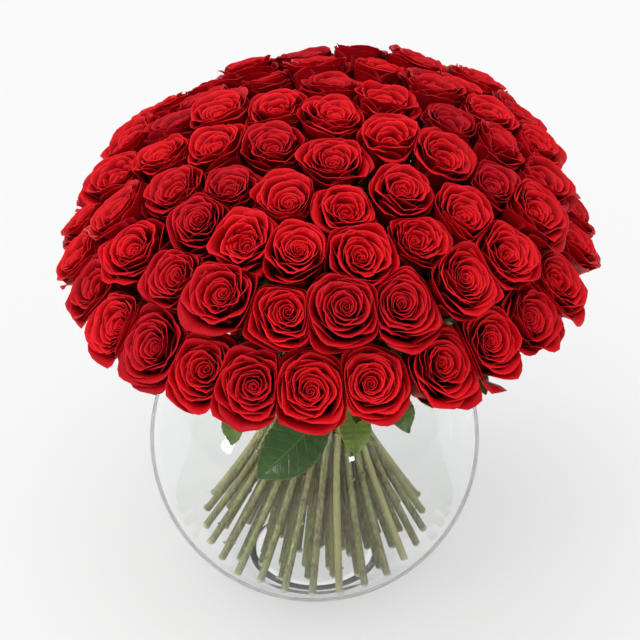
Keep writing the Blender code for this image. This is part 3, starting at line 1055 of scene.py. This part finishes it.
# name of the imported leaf, degrees round, degrees down, midrib's swing, length, width, curl, tone
leaves = [
    ("leaf_front_large", -84, 44, -46, 0.092, 0.046, 0.4, 0.1),
    ("leaf_front_pale", -72, 43, -8, 0.044, 0.028, 0.2, 0.9),
    ("leaf_front_right", -54, 42, 12, 0.044, 0.026, 0.6, 0.35),
    ("leaf_right", -30, 45, 25, 0.050, 0.030, 0.4, 0.25),
    ("leaf_front_left", -125, 43, 5, 0.046, 0.026, 0.7, 0.6),
    ("leaf_left", -172, 44, -30, 0.062, 0.036, 0.3, 0.2),
    ("leaf_back_left", 128, 43, 20, 0.070, 0.040, 0.5, 0.3),
    ("leaf_back", 84, 44, -25, 0.078, 0.044, 0.4, 0.15),
    ("leaf_back_right", 38, 43, 15, 0.066, 0.038, 0.5, 0.4),
]


def bladePoints(length, width, curl, seed, grid):
    # a rose leaflet: x from stalk to tip, y across, z up from its upper side
    draw = random.Random(seed)
    across, along = grid
    u = np.linspace(-1.0, 1.0, across)[:, None]
    v = np.linspace(0.0, 1.0, along)[None, :]
    outline = np.maximum(0.004, np.sin(math.pi * v ** 0.78) ** 0.85)
    saw = (v * leafLook["teeth"] + 0.15 * np.abs(u)) % 1.0
    cut = leafLook["tooth"] * smooth((np.abs(u) - 0.72) / 0.28) * (1.0 - saw) * (1.0 - v) ** 0.2
    half = width / 2 * outline * (1.0 - cut * 1.4)
    sweep = 0.10 * width * np.abs(u) * np.sin(math.pi * v)
    x = v * length + sweep
    y = u * half
    fold = 0.16 * np.abs(y)
    aside = np.abs(u)
    rib = np.sin((v * 9.0 + 0.55 * aside) * 2.0 * math.pi) * 0.00035 * aside * (1.0 - aside * 0.4)
    wave = 0.0018 * np.sin(v * draw.uniform(5, 8) + draw.uniform(0, 6) + 1.4 * u) * np.abs(u) ** 1.5
    bend = -curl * 0.010 * smooth((v - 0.55) / 0.45) ** 1.3
    z = fold + rib + wave + bend
    return x, y, z, u + 0.0 * v, v + 0.0 * u


def leafSheet(name, points, u, v, tone, material):
    verts, faces = thinSheet(points, np.full(points.shape[:2], leafLook["thickness"]), 0)
    uv = np.stack([u * 0.5 + 0.5, v], axis=-1).reshape(-1, 2)
    tones = np.full(len(verts), tone)
    mesh = meshOf(name, verts, [faces], np.concatenate([uv, uv]), "leaf", {"leafTone": tones})
    return addPiece(name, mesh, material)


def buildCollarLeaves(material):
    # they lie over the bowl's shoulder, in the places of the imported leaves
    shell = bowl["radius"] + leafLook["standoff"]
    for index, (node, degrees, down, swing, length, width, curl, tone) in enumerate(leaves):
        x, y, z, u, v = bladePoints(length, width, curl, 70 + index, leafLook["grid"])
        turned = math.radians(swing)
        drop = x * math.cos(turned) - y * math.sin(turned)
        side = x * math.sin(turned) + y * math.cos(turned)
        angle = math.radians(down) + drop / shell
        turn = math.radians(degrees) + side / (shell * np.sin(angle))
        reach = shell + np.maximum(z, -0.0045)
        points = np.stack([
            reach * np.sin(angle) * np.cos(turn),
            reach * np.sin(angle) * np.sin(turn),
            bowl["centre"] + reach * np.cos(angle),
        ], axis=-1)
        piece = leafSheet(node + "_blade", points, u, v, tone, material)
        keep(piece, "leaves", node)
    print("collar leaves:", len(leaves))


def leafMaterial():
    material, tree, shader = newMaterial("roseLeaf")
    where = put(tree, "ShaderNodeTexCoord").outputs["Object"]
    uv = put(tree, "ShaderNodeUVMap", uv_map="leaf").outputs["UV"]
    tone = put(tree, "ShaderNodeAttribute", attribute_name="leafTone").outputs["Fac"]
    parts = put(tree, "ShaderNodeSeparateXYZ", {0: uv})
    side = sums(tree, "ABSOLUTE", sums(tree, "SUBTRACT", parts.outputs["X"], 0.5))
    midrib = mapped(tree, side, 0.006, 0.022, 1.0, 0.0)
    upward = times(tree, parts.outputs["Y"], 9.0)
    slant = sums(tree, "SUBTRACT", upward, times(tree, side, 2.6))
    nerve = sums(tree, "PINGPONG", slant, 0.5)
    nerves = mapped(tree, nerve, 0.0, 0.07, 1.0, 0.0)
    lines = sums(tree, "MAXIMUM", midrib, times(tree, nerves, 0.6))
    cloud = placeGroup(tree, mottle, {"Vector": where, "Scale": 60.0, "Detail": 4.0, "Contrast": 0.5})
    pores = put(tree, "ShaderNodeTexVoronoi", {"Vector": where, "Scale": 700.0})
    deep = mixed(tree, tone, (0.016, 0.080, 0.008, 1.0), (0.24, 0.36, 0.06, 1.0))
    patched = mixed(tree, times(tree, cloud.outputs[0], 0.35), deep, (0.045, 0.13, 0.016, 1.0))
    lined = mixed(tree, times(tree, lines, 0.55), patched, (0.16, 0.25, 0.06, 1.0))
    edge = mapped(tree, side, 0.465, 0.5, 0.0, 0.5)
    edged = mixed(tree, edge, lined, (0.30, 0.24, 0.05, 1.0))
    tree.links.new(edged, shader.inputs["Base Color"])
    tree.links.new(mapped(tree, cloud.outputs[0], 0.0, 1.0, 0.24, 0.40), shader.inputs["Roughness"])
    height = sums(tree, "ADD", times(tree, lines, -1.0),
                  times(tree, pores.outputs["Distance"], 0.3))
    bump = put(tree, "ShaderNodeBump", {"Strength": 0.45, "Distance": 0.0006, "Height": height})
    tree.links.new(bump.outputs["Normal"], shader.inputs["Normal"])
    return material


def stalkTree():
    tree, given, out = newTree("stalkTree", [
        ("Radius", "Float", leafLook["stalk"]),
        ("Sides", "Int", 8),
        ("Tone", "Float", 0.35),
        ("Material", "Material", None),
    ])
    line = resampled(tree, given.outputs["Geometry"], 0.002)
    tube = tubeOf(tree, line.outputs[0], given.outputs["Sides"], given.outputs["Radius"])
    toned = stored(tree, tube.outputs[0], "leafTone", given.outputs["Tone"])
    finishTree(tree, given, out, toned.outputs[0])
    return tree


def buildStalks(material):
    # from each hanging leaf up over the rim to the stems
    shell = bowl["radius"] + leafLook["standoff"]
    paths = []
    for leaf in leaves:
        degrees, down = leaf[1], leaf[2]
        angle = math.radians(down)
        foot = (shell * math.sin(angle), bowl["centre"] + shell * math.cos(angle))
        side = [foot] + leafLook["stalkPath"]
        paths.append(smoothPath([polar(radius, degrees, height) for radius, height in side], 8))
    source = curveObject("stalk_paths", paths)
    piece = grow("leaf_stalks", source, stalkTree(), {"Material": material})
    piece.data.shade_smooth()
    keep(piece, "leaves")
    print("leaf stalks grown")


leafSkin = leafMaterial()
buildCollarLeaves(leafSkin)
buildStalks(leafSkin)


def scatterTree():
    # one shape on every point, turned and sized by the points' own values
    tree, given, out = newTree("scatterTree", [
        ("Shape", "Object", None),
        ("Material", "Material", None),
    ])
    shape = put(tree, "GeometryNodeObjectInfo", {"Object": given.outputs["Shape"]})
    turn = put(tree, "GeometryNodeInputNamedAttribute", {"Name": "turn"}, data_type="FLOAT_VECTOR")
    size = put(tree, "GeometryNodeInputNamedAttribute", {"Name": "size"}, data_type="FLOAT")
    tone = put(tree, "GeometryNodeInputNamedAttribute", {"Name": "tone"}, data_type="FLOAT")
    turned = put(tree, "FunctionNodeEulerToRotation", {0: turn.outputs["Attribute"]})
    onPoints = put(tree, "GeometryNodeInstanceOnPoints", {
        "Points": given.outputs["Geometry"], "Instance": shape.outputs["Geometry"],
        "Rotation": turned.outputs[0], "Scale": size.outputs["Attribute"],
    })
    toned = stored(tree, onPoints.outputs[0], "leafTone", tone.outputs["Attribute"], "INSTANCE")
    finishTree(tree, given, out, toned.outputs[0])
    return tree


def pointCloud(name, spots, turns, sizes, tones):
    mesh = bpy.data.meshes.new(name)
    mesh.from_pydata([tuple(spot) for spot in spots], [], [])
    for label, values in (("turn", turns), ("size", sizes), ("tone", tones)):
        kind, key = ("FLOAT_VECTOR", "vector") if label == "turn" else ("FLOAT", "value")
        attribute = mesh.attributes.new(label, kind, "POINT")
        attribute.data.foreach_set(key, np.array(values, dtype=np.float32).ravel())
    return addPiece(name, mesh)


def calyxShape():
    # the hip under the head and five sepals, hanging back on an open rose
    verts, faces, uvs = [], [], []
    body, quads, tris = lathe([
        (0.0, 0.004), (0.0052, 0.003), (0.0066, 0.0), (0.0062, -0.004),
        (0.0048, -0.0075), (0.0036, -0.0095), (0.0, -0.0098),
    ], 10)
    start = len(body)
    verts.append(body)
    uvs.append(np.full((start, 2), 0.35))
    draw = random.Random(9)
    for k in range(5):
        across, along = 5, 12
        u = np.linspace(-1.0, 1.0, across)[:, None]
        v = np.linspace(0.0, 1.0, along)[None, :]
        half = 0.0042 * (1.0 - v) ** 0.7 * (0.75 + 0.5 * np.sin(math.pi * v)) + 0.0002
        curl = draw.uniform(0.6, 1.5)
        out = 0.0058 + 0.013 * v - 0.006 * v ** 2
        z = 0.0015 + 0.009 * np.sin(v * 2.2) * (1.0 - v * 0.2) - 0.022 * curl * v ** 2.2
        angle = 2.0 * math.pi * (k + draw.uniform(-0.12, 0.12)) / 5
        y = u * half
        x = out + 0.0 * u
        z = z - 0.20 * np.abs(y)
        points = np.stack([
            x * math.cos(angle) - y * math.sin(angle),
            x * math.sin(angle) + y * math.cos(angle),
            z + 0.0 * u,
        ], axis=-1)
        skin, sheet = thinSheet(points, np.full(points.shape[:2], 0.0005), start)
        verts.append(skin)
        faces.append(sheet)
        uv = np.stack([u * 0.5 + 0.5 + 0.0 * v, v + 0.0 * u], axis=-1).reshape(-1, 2)
        uvs += [uv, uv]
        start += len(skin)
    mesh = meshOf("calyx_shape", np.concatenate(verts), [np.concatenate([quads] + faces), tris],
                  np.concatenate(uvs), "leaf")
    return addPiece("calyx_shape", mesh)


def eulerOf(axis, spin):
    side = axis.orthogonal().normalized()
    matrix = Matrix((side, axis.cross(side), axis)).transposed() @ Matrix.Rotation(spin, 3, "Z")
    return tuple(matrix.to_euler())


def buildCalyxes(tree, material):
    draw = random.Random(62)
    shape = calyxShape()
    for row in range(len(dome["rows"])):
        rowPlaces = [place for place in places if place["row"] == row]
        spots = [place["headBase"] + place["headAxis"] * 0.003 for place in rowPlaces]
        turns = [eulerOf(place["headAxis"], draw.uniform(0.0, 6.28)) for place in rowPlaces]
        sizes = [draw.uniform(0.92, 1.12) for _ in rowPlaces]
        tones = [draw.uniform(0.10, 0.45) for _ in rowPlaces]
        name = f"calyxes_row{row}" if row else "calyx_crown"
        source = pointCloud(name + "_points", spots, turns, sizes, tones)
        piece = grow(name, source, tree, {"Shape": shape, "Material": material})
        keep(piece, "leaves")
    bpy.data.objects.remove(shape, do_unlink=True)
    print("calyxes set")


foliage = {
    "perStem": 3,
    "low": 0.42,
    "high": 0.87,
    "length": 0.047,
    "width": 0.032,
    "grid": (7, 12),
}


def bladeShape(name, curl, seed):
    x, y, z, u, v = bladePoints(foliage["length"], foliage["width"], curl, seed, foliage["grid"])
    stalk = 0.008
    points = np.stack([x + stalk, y, z - 0.004 * (x / foliage["length"]) ** 2], axis=-1)
    return leafSheet(name, points, u, v, 0.3, leafSkin)


def buildFoliage(tree, material):
    # leaves left on the upper stems, hidden under the heads but for a few green glimpses
    draw = random.Random(77)
    shapes = [bladeShape("blade_shape_a", 0.5, 5), bladeShape("blade_shape_b", 1.2, 6)]
    for row in (1, 2, 3, 4, 5):
        spots, turns, sizes, tones = [[], []], [[], []], [[], []], [[], []]
        for place in places:
            if place["row"] != row:
                continue
            path = smoothPath(stemPath(place), 4)
            upper = path[32:]
            for k in range(foliage["perStem"]):
                span = foliage["high"] - foliage["low"]
                share = foliage["low"] + span * (k + draw.random()) / foliage["perStem"]
                i = min(len(upper) - 2, int(share * len(upper)))
                along = (upper[i + 1] - upper[i]).normalized()
                outward = Vector((upper[i].x, upper[i].y, 0.0)).normalized()
                aside = Matrix.Rotation(draw.uniform(-1.1, 1.1), 3, along) @ outward
                aim = (aside + along * draw.uniform(0.1, 0.9)).normalized()
                up = (along - aim * along.dot(aim)).normalized()
                matrix = Matrix((aim, up.cross(aim), up)).transposed()
                which = draw.randrange(2)
                spots[which].append(upper[i])
                turns[which].append(tuple(matrix.to_euler()))
                sizes[which].append(draw.uniform(0.75, 1.15))
                tones[which].append(draw.uniform(0.05, 0.35))
        for which in range(2):
            name = f"foliage_row{row}_{'ab'[which]}"
            source = pointCloud(name + "_points", spots[which], turns[which], sizes[which], tones[which])
            keep(grow(name, source, tree, {"Shape": shapes[which], "Material": material}), "leaves")
    for shape in shapes:
        bpy.data.objects.remove(shape, do_unlink=True)
    print("foliage set")


scatter = scatterTree()
buildCalyxes(scatter, leafSkin)
buildFoliage(scatter, leafSkin)


studio = {
    "floorSize": 14.0,
    "floorColour": (0.42, 0.42, 0.42, 1.0),
    "skyLow": 0.14,
    "skyHigh": 0.76,
    "backdrop": 0.92,
    "floorGlow": 0.50,
    "sunAngle": 60.0,
    "key": ((-0.50, -0.60, 2.4), 1.25),
    "windows": [  # place, width and height, power: small bright panes that show in the glass
        ((-2.15, -1.07, 0.75), (0.34, 0.42), 9.0),
        ((1.02, -2.08, 1.00), (0.16, 0.12), 2.6),
    ],
}
camera = {
    "target": (0.0, 0.0, bowl["centre"]),
    "distance": 2.4,
    "elevation": 38.0,
    "raise": 2.55,
    "right": 0.15,
    "focal": 147.6,
}


def addSun(name, place, power):
    # a wide sun lights the whole floor evenly
    lamp = bpy.data.lights.new(name, "SUN")
    lamp.angle = math.radians(studio["sunAngle"])
    lamp.energy = power
    made = bpy.data.objects.new(name, lamp)
    bpy.context.scene.collection.objects.link(made)
    made.location = place
    made.rotation_euler = (-Vector(place)).to_track_quat("-Z", "Y").to_euler()


def addWindow(name, place, size, power):
    lamp = bpy.data.lights.new(name, "AREA")
    lamp.shape = "RECTANGLE"
    lamp.size, lamp.size_y = size
    lamp.energy = power
    made = bpy.data.objects.new(name, lamp)
    bpy.context.scene.collection.objects.link(made)
    made.location = place
    made.rotation_euler = (Vector(camera["target"]) - Vector(place)).to_track_quat("-Z", "Y").to_euler()


def buildStudio():
    bpy.ops.mesh.primitive_plane_add(size=studio["floorSize"])
    floor = bpy.context.active_object
    floor.name = "studio_floor"
    material, tree, shader = newMaterial("studioFloor")
    shader.inputs["Base Color"].default_value = studio["floorColour"]
    shader.inputs["Roughness"].default_value = 0.9
    shader.inputs["Specular IOR Level"].default_value = 0.1
    shader.inputs["Emission Color"].default_value = (1.0, 1.0, 1.0, 1.0)
    shader.inputs["Emission Strength"].default_value = studio["floorGlow"]
    floor.data.materials.append(material)
    addSun("key_light", *studio["key"])
    for index, window in enumerate(studio["windows"]):
        addWindow(f"window_{index + 1}", *window)
    world = bpy.data.worlds.new("studioSky")
    bpy.context.scene.world = world
    world.use_nodes = True
    # a bright ceiling over a dim room; the eye sees a pale backdrop, plainly and through the glass
    tree = world.node_tree
    aim = put(tree, "ShaderNodeTexCoord").outputs["Generated"]
    height = put(tree, "ShaderNodeSeparateXYZ", {0: aim}).outputs["Z"]
    sky = tree.nodes["Background"]
    sky.inputs["Color"].default_value = (1.0, 1.0, 1.0, 1.0)
    room = mapped(tree, height, 0.05, 0.60, studio["skyLow"], studio["skyHigh"])
    light = put(tree, "ShaderNodeLightPath")
    seen = sums(tree, "MAXIMUM", light.outputs["Is Camera Ray"], light.outputs["Is Transmission Ray"])
    tree.links.new(mapped(tree, seen, 0.0, 1.0, room, studio["backdrop"]), sky.inputs["Strength"])
    bpy.context.scene.view_settings.view_transform = "Standard"
    print("studio set")


def buildCamera():
    lens = bpy.data.cameras.new("studio_camera")
    lens.lens = camera["focal"]
    made = bpy.data.objects.new("studio_camera", lens)
    bpy.context.scene.collection.objects.link(made)
    down = math.radians(camera["elevation"])
    back = Vector((0.0, -math.cos(down), math.sin(down)))
    made.location = Vector(camera["target"]) + camera["distance"] * back
    tilt = math.radians(90.0 - camera["elevation"] + camera["raise"])
    made.rotation_euler = (tilt, 0.0, -math.radians(camera["right"]))
    bpy.context.scene.camera = made


buildStudio()
buildCamera()
